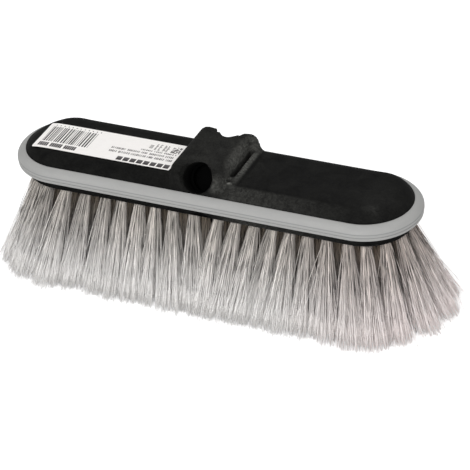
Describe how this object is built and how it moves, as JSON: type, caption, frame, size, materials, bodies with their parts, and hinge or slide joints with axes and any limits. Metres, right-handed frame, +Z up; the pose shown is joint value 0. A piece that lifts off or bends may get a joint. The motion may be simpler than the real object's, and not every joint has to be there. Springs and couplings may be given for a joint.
{
  "type": "car wash brush",
  "caption": "Long brush head with a soft rubber bumper, tilted handle sockets on both sides and tufts of soft flared bristles, for washing vehicles.",
  "frame": {"origin": "on the floor that the bristle tips stand on, under the middle of the block", "axes": "+X along the block, away from the sticker; -Y the side the picture shows; +Z up"},
  "size_m": [0.282, 0.0884, 0.0927],
  "materials": {
    "foamed_plastic_black": "matt foamed plastic",
    "soft_rubber_grey": "satin soft rubber",
    "sticker_paper": "smooth printed film",
    "bristle_grey": "soft split-end filament"
  },
  "bodies": {
    "root": {"bristle_end_left": "bristle_grey", "bristle_end_right": "bristle_grey", "bristle_strip_01": "bristle_grey", "bristle_strip_02": "bristle_grey", "bristle_strip_03": "bristle_grey", "bristle_strip_04": "bristle_grey", "bristle_strip_05": "bristle_grey", "bristle_strip_06": "bristle_grey", "bristle_strip_07": "bristle_grey", "bristle_strip_08": "bristle_grey", "bristle_strip_09": "bristle_grey", "bristle_strip_10": "bristle_grey", "bristle_strip_11": "bristle_grey", "bristle_strip_12": "bristle_grey", "bristle_strip_13": "bristle_grey", "bristle_strip_14": "bristle_grey", "bristle_strip_15": "bristle_grey", "bristle_strip_16": "bristle_grey", "brush_block": "foamed_plastic_black", "rubber_bumper": "soft_rubber_grey", "sticker": "sticker_paper"}
  },
  "joints": []
}
